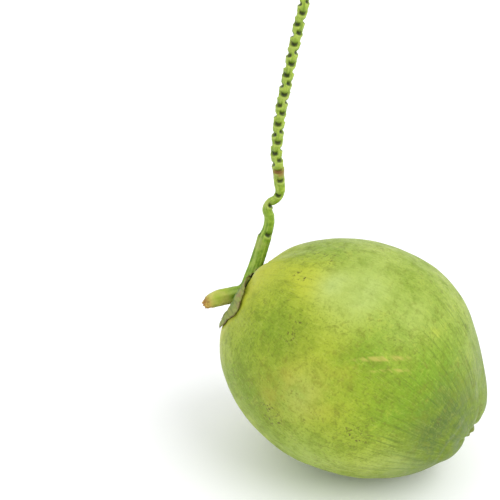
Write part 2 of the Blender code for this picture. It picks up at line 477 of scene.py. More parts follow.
def tip_relief(points, turn, height, reach):
    """Swellings, creases and ripples of the tip, and the segmented nub in its ring."""
    aside, nub_turn = from_nub(points[:, 0], points[:, 1])
    aside = aside / MM
    relief = TIP_RIPPLES * smooth(-40, -85, height) * np.cos(9 * turn + 1.3) * smooth(14, 34, aside)
    for size, middle, half_angle, middle_reach, width in TIP_SWELLS:
        swell = bump(angle_from(turn, math.radians(middle)), math.radians(half_angle))
        relief += size * swell * bump(reach - middle_reach, width)

    crease_zone = smooth(5, 9, aside) * (1 - smooth(14, 34, aside))
    relief += CREASE_RIPPLES * crease_zone * np.cos(11 * nub_turn + 0.7)
    crease_width = math.radians(CREASE_HALF_ANGLE) * CREASE_DISTANCE / np.clip(aside, 6, 40)
    for crease in CREASE_TURNS:
        distance = angle_from(nub_turn, math.radians(crease))
        relief -= CREASE_DEPTH * crease_zone * bump(distance, crease_width)

    lower_lip = bump(angle_from(turn, math.radians(LIP_TURN)), math.radians(LIP_HALF_ANGLE))
    for size, middle, width in LIP_RINGS:
        relief += size * lower_lip * bump(height - middle, width)
    for size, middle, width, evenness in NUB_RINGS:
        relief += size * bump(aside - middle, width) * (evenness + (1 - evenness) * np.cos(nub_turn + 1.3))

    segments = NUB_SEGMENTS * np.cos(3 * nub_turn + 1.1) * smooth(0.5, 3, aside)
    grain, grain_size, seed = NUB_GRAIN
    relief += bump(aside, NUB_MM) * (segments + grain * waves(points, grain_size, seed) - NUB_SINK)
    return relief * (height < 0)


def husk_relief(points):
    """How far the real skin stands off the smooth shape, in millimetres."""
    turn = np.arctan2(points[:, 1], points[:, 0])
    height = points[:, 2] / MM
    reach = np.hypot(points[:, 0], points[:, 1]) / MM
    relief = shoulder_relief(turn, height, reach) + tip_relief(points, turn, height, reach)
    for size, length, seed in SKIN_WAVES:
        relief += size * waves(points, length, seed)
    return relief


# Where the skin is tinted: the turn and height of each patch's middle, their half-widths, and its
# strength. Turns are in degrees and heights in millimetres.
YELLOW_PATCHES = (
    (-27, 60, 17, 20, 0.90), (-45, 30, 20, 20, 0.45), (-80, 10, 26, 26, 0.55),
    (-105, -40, 30, 30, 0.45), (150, 20, 45, 45, 0.50), (60, 40, 30, 30, 0.30),
)
GREEN_PATCHES = (
    (-38, -46, 24, 22, 0.95), (-55, -6, 16, 18, 0.50), (2, 62, 12, 24, 0.45),
    (-50, 2, 16, 16, 0.60), (-64, -40, 18, 18, 0.60), (-18, -58, 14, 14, 0.30),
    (120, -40, 40, 30, 0.60), (-95, 70, 26, 22, 0.45), (-160, -10, 40, 30, 0.40),
)
DULL_PATCHES = ((-58, -70, 30, 20, 0.55), (-100, 45, 22, 26, 0.35), (-58, 46, 14, 16, 0.25))
# Pale waxy bloom, with painted sheen where the skin faces the light above and painted reflection of the
# white floor on the underside; the strongest patch is a painted highlight on the lit shoulder fold.
WAX_AND_SHEEN_PATCHES = (
    (-25, 24, 17, 17, 0.70), (-24, -12, 16, 16, 0.20), (4, -20, 26, 40, 0.35), (8, -68, 18, 22, 0.45),
    (-26, 46, 10, 10, 1.00), (30, 40, 40, 40, 0.40), (-80, 22, 12, 14, 0.45),
    (-150, -20, 30, 60, 0.40), (-99, -58, 18, 18, 0.75), (-110, -8, 14, 24, 0.40),
)
TAN_PATCHES = ((-85, 36, 16, 14, 0.45), (-70, 8, 20, 14, 0.35))
SHOULDER_YELLOW = 0.8
TIP_DULL = 0.85
TIP_DULL_TURN = math.radians(-60)
BOWL_RIM_MM = 36
NUB_CREVICE_MM = 6.3
NUB_LIP_MM = 10.5


def patches(turn, height, table):
    """The soft-edged patches of a table, added up."""
    total = np.zeros(len(turn))
    for middle_turn, middle_height, turn_width, height_width, strength in table:
        beside = bump(angle_from(turn, math.radians(middle_turn)), math.radians(turn_width))
        total += strength * beside * bump(height - middle_height, height_width)
    return total


def husk_paint(points):
    """Where the skin is yellower, greener, duller, waxier and so on, mostly from 0 to 1; the waxy patches
    also carry painted sheen and reflection, and the bowl's rim and the nub's lip carry painted highlights.
    """
    turn = np.arctan2(points[:, 1], points[:, 0])
    height = points[:, 2] / MM
    reach = np.hypot(points[:, 0], points[:, 1]) / MM
    aside = from_nub(points[:, 0], points[:, 1])[0] / MM
    wobble = 0.25 * waves(points, 0.030, 11)
    yellow = SHOULDER_YELLOW * smooth(66, 98, height) + patches(turn, height, YELLOW_PATCHES)
    dull = smooth(-40, -84, height) * (TIP_DULL + (1 - TIP_DULL) * np.cos(turn - TIP_DULL_TURN))
    tip_side = height < 0
    return {
        "yellow": np.clip(yellow * (1 + wobble), 0, 1),
        "green": np.clip(patches(turn, height, GREEN_PATCHES) * (1 + wobble), 0, 1),
        "dull": np.clip(dull + patches(turn, height, DULL_PATCHES), 0, 1.2),
        "wax_and_sheen": np.clip(patches(turn, height, WAX_AND_SHEEN_PATCHES) * (1 - wobble), 0, 1),
        "streaky": smooth(5, -60, height),
        "tan": patches(turn, height, TAN_PATCHES),
        "nub": bump(aside, NUB_MM) * tip_side,
        "crevice": bump(aside - NUB_CREVICE_MM, 1.2) * tip_side,
        # pale skin with a painted highlight on the lip round the nub
        "lip": bump(aside - NUB_LIP_MM, 2.4) * tip_side,
        # yellow band along the bowl's rim, with a painted highlight on its ridge
        "rim": bump(reach - BOWL_RIM_MM, 5.5) * (height > 0),
    }


def build_husk():
    polar, turn = husk_grid()
    rows, columns = polar.shape
    polar = np.append(polar.ravel(), [0.0, math.pi])
    turn = np.append(turn.ravel(), [0.0, 0.0])
    points = husk_points(polar, turn)
    faces = grid_faces(rows, columns, closed=True)
    faces += end_fans(rows, columns, rows * columns, rows * columns + 1)

    normals = smooth_normals(points, faces)
    shaped = points + normals * (husk_relief(points) * MM)[:, None]
    shaped = press_flat(shaped)
    husk = new_mesh_object("husk", shaped, faces, husk_paint(points))
    husk.data.materials.append(husk_material())
    finish_piece(husk, "coconut_husk")


def smooth_normals(points, faces):
    """The directions straight out of a surface at its points."""
    mesh = bpy.data.meshes.new("normals")
    mesh.from_pydata(points.tolist(), [], faces)
    normals = np.zeros(len(points) * 3, np.float32)
    mesh.vertex_normals.foreach_get("vector", normals)
    bpy.data.meshes.remove(mesh)
    return normals.reshape(-1, 3)


def press_flat(points):
    """Press whatever would go through the ground up to its level, for the flat spot."""
    matrix = lean_matrix()
    laid = points @ matrix.T + np.array(PLACE)
    laid[:, 2] = np.maximum(laid[:, 2], 0.0)
    return (laid - np.array(PLACE)) @ matrix


# Blemishes of the skin, in the fruit's frame: middle, then half the length, width and depth
SCUFFS = (
    ((60.5, -58.5, -12), (27, 2.6, 30), 0.65),               # and how strong it is
    ((58.0, -62.0, -20), (19, 1.8, 30), 0.55),
)
SCRATCHES = ((74, -41, -22), (16, 4.5, 20))
SPECK_CLUSTERS = (
    ((72.6, -9.6, 59.2), 9),
    ((60.5, -31.0, 66.0), 11),
    ((38.0, -67.0, 50.0), 10),
    ((49.4, -58.4, 50.5), 6),
    ((11.0, -82.5, -25.0), 16),
    ((-16.0, -80.0, 30.0), 15),
    ((32.0, 0.0, -88.0), 10),
    ((-70.0, 40.0, 20.0), 14),
    ((-30.0, 80.0, -20.0), 13),
    ((60.0, 62.0, 10.0), 12),
)
SPECKS_PER_METRE = 330
SPECK_RAGGEDNESS = 0.006

# Colours of the husk
SKIN_DARK = rgb(134, 160, 34)
SKIN_LIGHT = rgb(152, 172, 40)
SKIN_YELLOW = rgb(184, 191, 54)
SKIN_GREEN = rgb(108, 150, 16)
SKIN_DULL = rgb(76, 102, 34)
SKIN_WAXY_SHEEN = rgb(180, 199, 116)
SKIN_TAN = rgb(178, 166, 60)
FIBRE_DARK = rgb(108, 124, 34)
FIBRE_PALE = rgb(200, 206, 110)
STREAK_DARK = rgb(78, 104, 26)
STREAK_PALE = rgb(168, 186, 84)
SCUFF_TAN = rgb(190, 178, 88)
SCRATCH_BROWN = rgb(104, 104, 36)
SPECK_BROWN = rgb(92, 84, 30)
BOWL_RIM_YELLOW_HIGHLIGHT = rgb(196, 194, 76)
NUB_LIP_HIGHLIGHT = rgb(170, 182, 120)
NUB_DARK = rgb(84, 92, 34)
NUB_PALE = rgb(150, 156, 74)
CREVICE_BROWN = rgb(62, 66, 26)


def husk_material():
    n = Nodes("husk_skin")
    where = n.fruit_coordinates()
    grain = n.lengthwise(where, 0.12)
    clouds = n.noise(where, 26, 4, 0.6)
    mottle = n.noise(where, 95, 6, 0.68, 0.35)
    blots = n.noise(where, 210, 5, 0.65, 0.6)
    freckle = n.noise(where, 620, 4, 0.7)
    fibre = n.noise(grain, 330, 4, 0.62)
    fine_fibre = n.noise(grain, 1200, 3, 0.6)
    streaks = n.noise(n.lengthwise(where, 0.06), 420, 5, 0.7)

    colour = n.mix(n.spread(clouds, 0.35, 0.68), SKIN_DARK, SKIN_LIGHT)
    colour = n.tinted(colour, "yellow", n.spread(mottle, 0.20, 0.62, 0.45, 1.0), SKIN_YELLOW)
    broken = n.spread(mottle, 0.30, 0.70, 1.0, 0.45)
    colour = n.tinted(colour, "green", broken, SKIN_GREEN)
    colour = n.tinted(colour, "dull", broken, SKIN_DULL)
    # Pale waxy bloom and painted sheen
    colour = n.tinted(colour, "wax_and_sheen", n.spread(clouds, 0.25, 0.70, 0.45, 0.90), SKIN_WAXY_SHEEN)

    # The mottling is calmer under the painted sheen and the yellow.
    sheen_and_yellow = n.math("MAXIMUM", n.attribute("wax_and_sheen"), n.math("MULTIPLY", n.attribute("yellow"), 0.65))
    calm = n.spread(sheen_and_yellow, 0.15, 0.75, 1.0, 0.32)
    for pattern, low, high, strength, tint in (
        (mottle, 0.46, 0.66, 0.60, rgb(108, 132, 22)),
        (mottle, 0.48, 0.28, 0.40, rgb(186, 194, 64)),
        (blots, 0.50, 0.68, 0.60, rgb(112, 120, 28)),
        (blots, 0.46, 0.28, 0.22, rgb(186, 196, 80)),
        (freckle, 0.50, 0.70, 0.58, rgb(92, 108, 20)),
        (freckle, 0.46, 0.26, 0.20, rgb(196, 206, 96)),
    ):
        share = n.math("MULTIPLY", n.spread(pattern, low, high, 0.0, strength), calm)
        colour = n.mix(share, colour, tint)
    colour = n.mix(n.spread(fibre, 0.50, 0.74, 0.0, 0.25), colour, FIBRE_DARK)
    colour = n.mix(n.spread(fine_fibre, 0.52, 0.80, 0.0, 0.25), colour, FIBRE_PALE)
    colour = n.tinted(colour, "streaky", n.spread(streaks, 0.48, 0.66, 0.0, 0.60), STREAK_DARK)
    colour = n.tinted(colour, "streaky", n.spread(streaks, 0.46, 0.32, 0.0, 0.12), STREAK_PALE)
    colour = n.tinted(colour, "tan", n.spread(clouds, 0.40, 0.60), SKIN_TAN)

    for middle, half_sizes, strength in SCUFFS:
        scuff = n.math("MULTIPLY", n.blotch(where, middle, half_sizes), n.spread(fibre, 0.38, 0.58))
        colour = n.mix(n.math("MULTIPLY", scuff, strength), colour, SCUFF_TAN)
    lines = n.spread(n.noise(grain, 700, 2), 0.56, 0.64)
    scratches = n.math("MULTIPLY", n.blotch(where, *SCRATCHES), lines)
    colour = n.mix(n.math("MULTIPLY", scratches, 0.55), colour, SCRATCH_BROWN)
    specks = speck_mask(n, where)
    colour = n.mix(specks, colour, SPECK_BROWN)

    # Yellow skin and a painted highlight along the ridge of the bowl's rim
    colour = n.tinted(colour, "rim", n.spread(mottle, 0.40, 0.65, 0.1, 0.7), BOWL_RIM_YELLOW_HIGHLIGHT)
    # Pale skin and a painted highlight along the lip round the nub
    colour = n.tinted(colour, "lip", 0.55, NUB_LIP_HIGHLIGHT)
    nub_colour = n.mix(n.spread(freckle, 0.35, 0.65), NUB_DARK, NUB_PALE)
    colour = n.mix(n.spread(n.attribute("nub"), 0.30, 0.70), colour, nub_colour)
    colour = n.tinted(colour, "crevice", 0.75, CREVICE_BROWN)
    reliefs = ((fibre, 0.0004, 0.5), (mottle, 0.0008, 0.45), (freckle, 0.0003, 0.5), (specks, 0.0003, 0.4))
    return n.finished(colour, n.spread(mottle, 0.3, 0.7, 0.40, 0.56), 0.24, reliefs)


def speck_mask(n, where):
    """Small brown specks, ragged and of uneven strength, gathered in a few clusters."""
    ragged = n.add("ShaderNodeVectorMath", operation="MULTIPLY_ADD")
    wobble = n.add("ShaderNodeTexNoise")
    n.join(where, wobble.inputs["Vector"])
    wobble.inputs["Scale"].default_value = 420
    n.join(wobble.outputs["Color"], ragged.inputs[0])
    ragged.inputs[1].default_value = (SPECK_RAGGEDNESS,) * 3
    n.join(where, ragged.inputs[2])
    spots = n.spread(n.cells(ragged.outputs[0], SPECKS_PER_METRE), 0.22, 0.42, 1.0, 0.0)
    strength = n.spread(n.noise(where, 260, 2), 0.36, 0.55)
    spots = n.math("MULTIPLY", spots, strength)
    clusters = n.spread(n.noise(where, 42, 3, 0.6), 0.56, 0.70, 0.0, 0.75)
    for middle, size in SPECK_CLUSTERS:
        clusters = n.math("MAXIMUM", clusters, n.blotch(where, middle, (size, size, size)))
    return n.math("MULTIPLY", n.math("MULTIPLY", spots, clusters), 0.92)


# -------------------- calyx

LOBE_ROWS = 44
LOBE_COLUMNS = 110
TEARS = ((3, 0.55), (7, 0.40), (15, 0.28), (31, 0.20), (61, 0.12))   # pace, and size in millimetres
TEAR_PACE = 1.7
NOTCHES = 3
NOTCH_DEPTHS_MM = (0.6, 1.8)
NOTCH_HALF_WIDTHS = (0.015, 0.05)                  # as shares of half a lobe's width
SIDE_WAVES = ((0.035, 9, 1), (0.020, 23, 2))       # size, pace on the way out, shift by the seed
VEINS = ((0.16, 41, 2.5, 1), (0.10, 97, -4.0, 0))  # height in millimetres, count, slant, shift by the seed
VEIN_WANDER = 1.6
VEIN_WANDER_SIZE = 0.009
CRUMPLES = ((0.30, 0.0050), (0.14, 0.0018))        # height in millimetres, and size
EDGE_CURL_MM = 0.45
EDGE_LIFT_MM = 0.15
EDGE_THICKNESS_MM = 0.40
EXTRA_THICKNESS_MM = 0.75
LEAST_THICKNESS_MM = 0.3


def skin_height(radius, turn):
    """Height of the finished skin in the bowl and over its rim."""
    flat = end_height(radius, turn)
    points = np.stack([radius * np.cos(turn), radius * np.sin(turn), flat], axis=-1).reshape(-1, 3)
    return flat + husk_relief(points).reshape(radius.shape) * MM


def torn_edge(side, seed):
    """How far the torn edge stands out along a lobe's width, in millimetres."""
    dice = np.random.default_rng(seed)
    torn = np.zeros(len(side))
    for pace, size in TEARS:
        torn += size * np.sin(pace * side * TEAR_PACE + dice.uniform(0, 2 * math.pi))
    for _ in range(NOTCHES):
        depth = dice.uniform(*NOTCH_DEPTHS_MM)
        torn -= depth * bump(side - dice.uniform(-0.9, 0.9), dice.uniform(*NOTCH_HALF_WIDTHS))
    return torn


def lobe_sheet(lobe, turn, seed):
    """A lobe's underside before its relief, each point's places on it, and its distance to the rim."""
    side = np.linspace(-1, 1, LOBE_COLUMNS)
    across, out = np.meshgrid(side, np.linspace(0, 1, LOBE_ROWS), indexing="xy")
    place = turn + lobe.half_angle * across
    standing = bump(angle_from(place, FLARE_TURN), FLARE_HALF_ANGLE)
    flap = bump(angle_from(place, FLAP_TURN), FLAP_HALF_ANGLE)
    tucked = bump(angle_from(place, TUCK_TURN), TUCK_HALF_ANGLE)
    edge = lobe.reach * (1 - lobe.skew * across - LOBE_NARROWING * across ** 4)
    edge += torn_edge(side, seed)[None, :] * MM
    edge += FLAP_REACH * flap * lobe.reach / PETAL.reach - TUCK_REACH * tucked
    radius = lobe.root + (edge - lobe.root) * out
    side_wave = 1 + sum(size * np.sin(pace * out + shift * seed) for size, pace, shift in SIDE_WAVES)
    angle = turn + lobe.half_angle * across * side_wave

    cupping = lobe.hump * np.sin(math.pi * out) * (1 - 0.7 * across ** 2)
    cupping += lobe.flare * standing * smooth(0.4, 1, out)
    height = skin_height(radius, angle) + lobe.lift + lobe.climb * (across + 1) / 2 + cupping
    sheet = np.stack([radius * np.cos(angle), radius * np.sin(angle), height], axis=-1).reshape(-1, 3)
    from_side = (1 - np.abs(across)) * lobe.half_angle * radius
    rim = np.minimum(from_side, (1 - out) * (edge - lobe.root)).ravel() / MM
    return sheet, angle, across, out, rim


def border_loop():
    """The points round a lobe's grid, in order."""
    border = list(range(LOBE_COLUMNS))
    border += [row * LOBE_COLUMNS + LOBE_COLUMNS - 1 for row in range(1, LOBE_ROWS)]
    border += [(LOBE_ROWS - 1) * LOBE_COLUMNS + column for column in range(LOBE_COLUMNS - 2, -1, -1)]
    border += [row * LOBE_COLUMNS for row in range(LOBE_ROWS - 2, 0, -1)]
    return border


def build_lobe(node, lobe, turn, seed, material):
    """A leathery lobe with a dry, torn edge: an upper and a lower skin joined at the rim."""
    sheet, angle, across, out, rim = lobe_sheet(lobe, turn, seed)
    wander = VEIN_WANDER * waves(sheet, VEIN_WANDER_SIZE, seed + 60).reshape(angle.shape)
    veins = np.zeros(angle.shape)
    for size, pace, slant, shift in VEINS:
        veins += size * np.sin(angle * pace + slant * out + shift * seed + wander)
    rise = (veins * smooth(0.1, 0.5, out)).ravel()
    for number, (size, length) in enumerate(CRUMPLES):
        rise += size * perlin(sheet, length, seed + number)
    curl = EDGE_LIFT_MM + EDGE_CURL_MM * np.sin(across * 5.1 + seed * 1.7)
    rise += (smooth(0.80, 1.0, out) * curl).ravel()
    upper = sheet.copy()
    upper[:, 2] += (rise + EDGE_THICKNESS_MM + EXTRA_THICKNESS_MM * smooth(0, 4, rim)) * MM
    lower = sheet.copy()
    lower[:, 2] += np.clip(rise, -0.2, 3) * smooth(0, 1.5, 3 - rim) * MM
    upper[:, 2] = np.maximum(upper[:, 2], lower[:, 2] + LEAST_THICKNESS_MM * MM)

    count = len(sheet)
    faces = grid_faces(LOBE_ROWS, LOBE_COLUMNS)
    faces += [tuple(count + index for index in reversed(face)) for face in faces]
    border = border_loop()
    for here, following in zip(border, border[1:] + border[:1]):
        faces.append((here, following, count + following, count + here))
    attributes = {
        "rim": np.tile(rim, 2),
        "out": np.tile(out.ravel(), 2),
        "vein": np.tile(veins.ravel(), 2),
    }
    piece = new_mesh_object(node + "_leaf", np.concatenate([upper, lower]), faces, attributes)
    fix_normals(piece)
    piece.data.materials.append(material)
    finish_piece(piece, node)


LobeColours = namedtuple("LobeColours", "outer outer_pale inner margin dry")
PETAL_COLOURS = LobeColours(outer=rgb(130, 144, 58), outer_pale=rgb(150, 158, 78), inner=rgb(66, 112, 42),
                            margin=rgb(96, 72, 34), dry=rgb(150, 132, 84))
SEPAL_COLOURS = LobeColours(outer=rgb(124, 136, 64), outer_pale=rgb(150, 150, 84), inner=rgb(74, 110, 46),
                            margin=rgb(100, 74, 38), dry=rgb(176, 152, 116))
VEIN_BROWN = rgb(66, 74, 30)
LOBE_GRIT = rgb(72, 66, 28)


def lobe_material(name, colours):
    n = Nodes(name)
    where = n.fruit_coordinates()
    mottle = n.noise(where, 260, 4, 0.6, 0.5)
    dry_patches = n.noise(where, 95, 3, 0.55, 0.4)
    grit = n.noise(where, 1400, 3, 0.65)
    colour = n.mix(n.spread(mottle, 0.35, 0.7), colours.outer, colours.outer_pale)
    ragged_out = n.math("ADD", n.attribute("out"), n.spread(dry_patches, 0.3, 0.7, -0.12, 0.12))
    colour = n.mix(n.spread(ragged_out, 0.86, 0.50), colour, colours.inner)
    colour = n.mix(n.spread(n.attribute("vein"), 0.00, -0.20, 0.0, 0.35), colour, VEIN_BROWN)
    colour = n.mix(n.spread(dry_patches, 0.55, 0.66, 0.0, 0.8), colour, colours.dry)
    ragged_rim = n.math("ADD", n.attribute("rim"), n.spread(mottle, 0.25, 0.75, -0.7, 0.9))
    colour = n.mix(n.spread(ragged_rim, 0.05, 0.85, 0.95, 0.0), colour, colours.margin)
    colour = n.mix(n.spread(grit, 0.48, 0.75, 0.0, 0.35), colour, LOBE_GRIT)
    reliefs = ((mottle, 0.0006, 0.6), (grit, 0.0002, 0.6))
    return n.finished(colour, n.spread(mottle, 0.3, 0.7, 0.50, 0.72), 0.35, reliefs)


def build_calyx():
    petal_skin = lobe_material("petal_skin", PETAL_COLOURS)
    sepal_skin = lobe_material("sepal_skin", SEPAL_COLOURS)
    for number in range(WHORL_SIZE):
        turn = WHORL_TURN + number * 2 * math.pi / WHORL_SIZE
        between = turn + math.pi / WHORL_SIZE
        build_lobe(f"calyx_petal_{number + 1}", PETAL, turn, 20 + number, petal_skin)
        build_lobe(f"calyx_sepal_{number + 1}", SEPAL, between, 30 + number, sepal_skin)


# -------------------- stalk

STALK_STEP_MM = 0.42
STALK_SIDES = 72
SCAR_SPACING_MM = 2.85
SCAR_SIZE_MM = 2.15
GOLDEN_TURN = math.radians(137.5)
FRONT_TURN = math.radians(-54)
STUB_MM = 24
STRAND_COUNT = 9
STRAND_LENGTH_MM = 7
SLIM_MM = 0.55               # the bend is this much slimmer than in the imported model
FLUTES_MM = (0.20, 0.12)
TORN_MM = 9.0                # how far the stub's torn end is dry
FRAY_MM = 1.3
TORN_ROUGHNESS_MM = 0.45
ROUGHNESS_MM = (0.14, 0.06)
BROWN_BAND_MM = 3.4
SCAR_DEPTH = 0.80            # as shares of the scar's size
SCAR_SHELF = 0.30

# Points of the route, by their number
STEM_END = 7                 # the thick stem ends in a torn lip
ELBOW = 11
BEND_LOW = 12
BEND_END = 13
RISE = 14
SPIKELET_START = 15          # the even rows of flower scars begin
TAPER = 20
DRY = 21
TOP = 23

# Single scars below the even rows: point of the route, millimetres past it, degrees from the
# front, size in millimetres, and width to size
LONE_SCARS = (
    (STEM_END, 3.5, 35, 1.9, 1.1),
    (STEM_END, 1.5, -75, 1.5, 0.8),
    (ELBOW, -1.0, 68, 2.2, 1.3),
    (BEND_END, -2.6, -10, 1.9, 1.1),
    (RISE, 2.0, 20, 1.8, 1.1),
    (RISE, 5.0, 160, 1.6, 1.0),
)


def stalk_line():
    """The route as evenly spaced points, with the radius at each, in millimetres."""
    curve = bpy.data.curves.new("stalk_line", "CURVE")
    curve.dimensions = "3D"
    curve.resolution_u = 16
    spline = curve.splines.new("BEZIER")
    spline.bezier_points.add(len(STALK_ROUTE_MM) - 1)
    for point, stop in zip(spline.bezier_points, STALK_ROUTE_MM):
        point.co = stop[:3]
        point.handle_left_type = "AUTO"
        point.handle_right_type = "AUTO"
    line = bpy.data.objects.new("stalk_line", curve)
    bpy.context.scene.collection.objects.link(line)
    bpy.context.view_layer.update()
    mesh = bpy.data.meshes.new_from_object(line.evaluated_get(bpy.context.evaluated_depsgraph_get()))
    path = np.array([vertex.co for vertex in mesh.vertices])
    bpy.data.objects.remove(line)
    bpy.data.meshes.remove(mesh)

    run = np.append(0, np.cumsum(np.linalg.norm(np.diff(path, axis=0), axis=1)))
    knots = [run[np.argmin(np.linalg.norm(path - np.array(stop[:3]), axis=1))] for stop in STALK_ROUTE_MM]
    along = np.arange(0, run[-1], STALK_STEP_MM)
    even = np.stack([np.interp(along, run, path[:, axis]) for axis in range(3)], axis=-1)
    radius = evened(np.interp(along, knots, [stop[3] for stop in STALK_ROUTE_MM]), 13)
    return along, even, radius, knots


def evened(values, width):
    """A running average over the given odd number of values."""
    kernel = np.hanning(width + 2)[1:-1]
    return np.convolve(np.pad(values, width // 2, mode="edge"), kernel / kernel.sum(), mode="valid")


def scar_list(along, knots):
    """Flower scars: place along the stalk, turn from the front, size, and width to size."""
    scars = []
    for point, past, turn, size, wide in LONE_SCARS:
        scars.append((knots[point] + past, math.radians(turn), size, wide))
    place = knots[SPIKELET_START]
    number = 0
    while place < along[-1] - 5:
        taper = smooth(knots[TAPER], along[-1], place)
        scars.append((place, number * GOLDEN_TURN, SCAR_SIZE_MM * (1 - 0.50 * taper), 1.0))
        place += SCAR_SPACING_MM * (1 - 0.15 * taper)
        number += 1
    return scars


def stalk_relief(along, around, radius, scars):
    """The scars' relief, and how far each point is in a scar's pit, with its dark colour and painted shade,
    in its lip, with a painted highlight, or in its rim, with painted shade.
    """
    relief = np.zeros((len(along), len(around)))
    depth = np.zeros_like(relief)
    lip = np.zeros_like(relief)
    halo = np.zeros_like(relief)
    for place, turn, size, wide in scars:
        near = np.abs(along - place) < 6 * size
        up = (along[near, None] - place) / size
        side = radius[near, None] * angle_from(around[None, :], turn) / (size * wide)
        above = up + 0.9 - 0.16 * side ** 2
        pit = smooth(0.0, 0.40, above) * (1 - smooth(0.6, 2.3, above)) * (1 - smooth(1.2, 2.0, np.abs(side)))
        shelf = np.where(above < 0, np.exp(above / 1.6), 1 - smooth(0, 0.35, above))
        shelf = shelf * (1 - smooth(1.3, 2.4, np.abs(side)))
        relief[near] += size * (SCAR_SHELF * shelf - SCAR_DEPTH * pit)
        halo[near] = np.maximum(halo[near], bump(above - 0.9, 2.0) * bump(side, 1.7))
        depth[near] = np.maximum(depth[near], smooth(0.0, 1.1, pit))
        lip[near] = np.maximum(lip[near], smooth(0.45, 0.95, shelf) * (1 - pit))
    return relief, depth, lip, halo


def rays_round(path, along):
    """The stalk's heading at each step, and the rays round it there, from the front on."""
    around = np.arange(STALK_SIDES) * 2 * math.pi / STALK_SIDES
    front = np.array([math.cos(FRONT_TURN), math.sin(FRONT_TURN), 0.0])
    heading = np.gradient(path, along, axis=0)
    heading = np.stack([evened(heading[:, axis], 9) for axis in range(3)], axis=-1)
    heading /= np.linalg.norm(heading, axis=1)[:, None]
    first = front - (heading @ front)[:, None] * heading
    first /= np.linalg.norm(first, axis=1)[:, None]
    second = np.cross(heading, first)
    rays = first[:, None, :] * np.cos(around)[None, :, None]
    rays += second[:, None, :] * np.sin(around)[None, :, None]
    return around, heading, rays


def build_stalk():
    along, path, radius, knots = stalk_line()
    around, heading, rays = rays_round(path, along)
    relief, depth, lip, halo = stalk_relief(along, around, radius, scar_list(along, knots))
    past_stem = smooth(knots[STEM_END], knots[STEM_END] + 5, along)
    flutes = FLUTES_MM[0] * np.cos(7 * around[None, :] + 0.02 * along[:, None])
    flutes += FLUTES_MM[1] * np.cos(13 * around + 1)[None, :]
    slim = past_stem * (1 - smooth(knots[BEND_LOW], knots[RISE], along))
    relief += flutes * (1 - past_stem)[:, None] - SLIM_MM * slim[:, None]
    ends = smooth(0, 3, along) * smooth(0, 1.5, along[-1] - along)
    relief *= ends[:, None]

    points = (path[:, None, :] + rays * (radius[:, None] + relief)[:, :, None]).reshape(-1, 3)
    whole = np.repeat(along, STALK_SIDES)
    torn = 1 - smooth(1.5, TORN_MM - 1, whole)
    rough = ROUGHNESS_MM[0] * perlin(points, 2.4, 41) + ROUGHNESS_MM[1] * perlin(points, 0.8, 42)
    rough += torn * TORN_ROUGHNESS_MM * perlin(points, 1.3, 44)
    points += rays.reshape(-1, 3) * rough[:, None]
    fray = torn * FRAY_MM * perlin(points, 1.0, 43)
    points += np.repeat(heading, STALK_SIDES, axis=0) * fray[:, None]

    rows = len(along)
    start = len(points)
    faces = grid_faces(rows, STALK_SIDES, closed=True) + end_fans(rows, STALK_SIDES, start, start + 1)
    points = np.concatenate([points, path[:1] + heading[:1] * 0.8, path[-1:] + heading[-1:] * 0.4])

    def with_ends(values, at_start, at_end):
        return np.append(values.ravel(), [at_start, at_end])

    turns = np.tile(around, rows)
    places = [STRAND_COUNT * np.cos(turns), STRAND_COUNT * np.sin(turns), whole / STRAND_LENGTH_MM]
    attributes = {
        "strand": with_ends(waves(np.stack(places, axis=-1), 2.0, 45), 0, 0),
        "scar": with_ends(depth * ends[:, None], 0, 0),
        "lip": with_ends(lip, 0, 0),
        "halo": with_ends(halo * ends[:, None], 0, 0),
        "torn": with_ends(1 - smooth(0.5, TORN_MM, whole), 1, 0),
        "stub": with_ends(1 - smooth(STUB_MM * 0.7, STUB_MM, whole), 1, 0),
        "spikelet": with_ends(smooth(knots[STEM_END], knots[SPIKELET_START], whole), 0, 1),
        "dry": with_ends(smooth(knots[DRY], knots[TOP] + 2, whole), 0, 1),
        "brown": with_ends(bump(whole - (knots[SPIKELET_START] - 1.0), BROWN_BAND_MM), 0, 0),
    }
    stalk = new_mesh_object("stalk_grown", points * MM, faces, attributes)
    fix_normals(stalk)
    stalk.data.materials.append(stalk_material())
    add_foot(stalk)
    finish_piece(stalk, "stalk")


FOOT_RADIUS_MM = 7.4
FOOT_TOP_RADIUS_MM = 4.6
FOOT_LOW_MM = 90.6
FOOT_RISE_MM = 9.4
FOOT_FLUTE_MM = 0.35
FOOT_ROWS = 14
FOOT_SIDES = 64


def add_foot(stalk):
    """Join the stalk's foot, a short fluted cone down to the middle of the fruit's end."""
    turn = np.arange(FOOT_SIDES) * 2 * math.pi / FOOT_SIDES
    layers = []
    for share in np.linspace(0, 1, FOOT_ROWS):
        radius = FOOT_RADIUS_MM + (FOOT_TOP_RADIUS_MM - FOOT_RADIUS_MM) * smooth(0, 1, share)
        radius = radius + FOOT_FLUTE_MM * np.cos(9 * turn) * (1 - share)
        height = np.full(FOOT_SIDES, FOOT_LOW_MM + FOOT_RISE_MM * share)
        layers.append(np.stack([radius * np.cos(turn), radius * np.sin(turn), height], axis=-1))
    points = np.concatenate(layers + [[[0, 0, FOOT_LOW_MM]], [[0, 0, FOOT_LOW_MM + FOOT_RISE_MM]]])
    last = len(points) - 1
    faces = grid_faces(FOOT_ROWS, FOOT_SIDES, closed=True) + end_fans(FOOT_ROWS, FOOT_SIDES, last - 1, last)
    foot = new_mesh_object("stalk_foot", points * MM, faces)
    fix_normals(foot)
    join = stalk.modifiers.new("Foot", "BOOLEAN")
    join.operation = "UNION"
    join.solver = "EXACT"
    join.object = foot
    bpy.context.view_layer.update()
    graph = bpy.context.evaluated_depsgraph_get()
    joined = bpy.data.meshes.new_from_object(stalk.evaluated_get(graph), preserve_all_data_layers=True,
                                             depsgraph=graph)
    stalk.modifiers.clear()
    stalk.data = joined
    stalk.data.shade_smooth()
    bpy.data.objects.remove(foot)


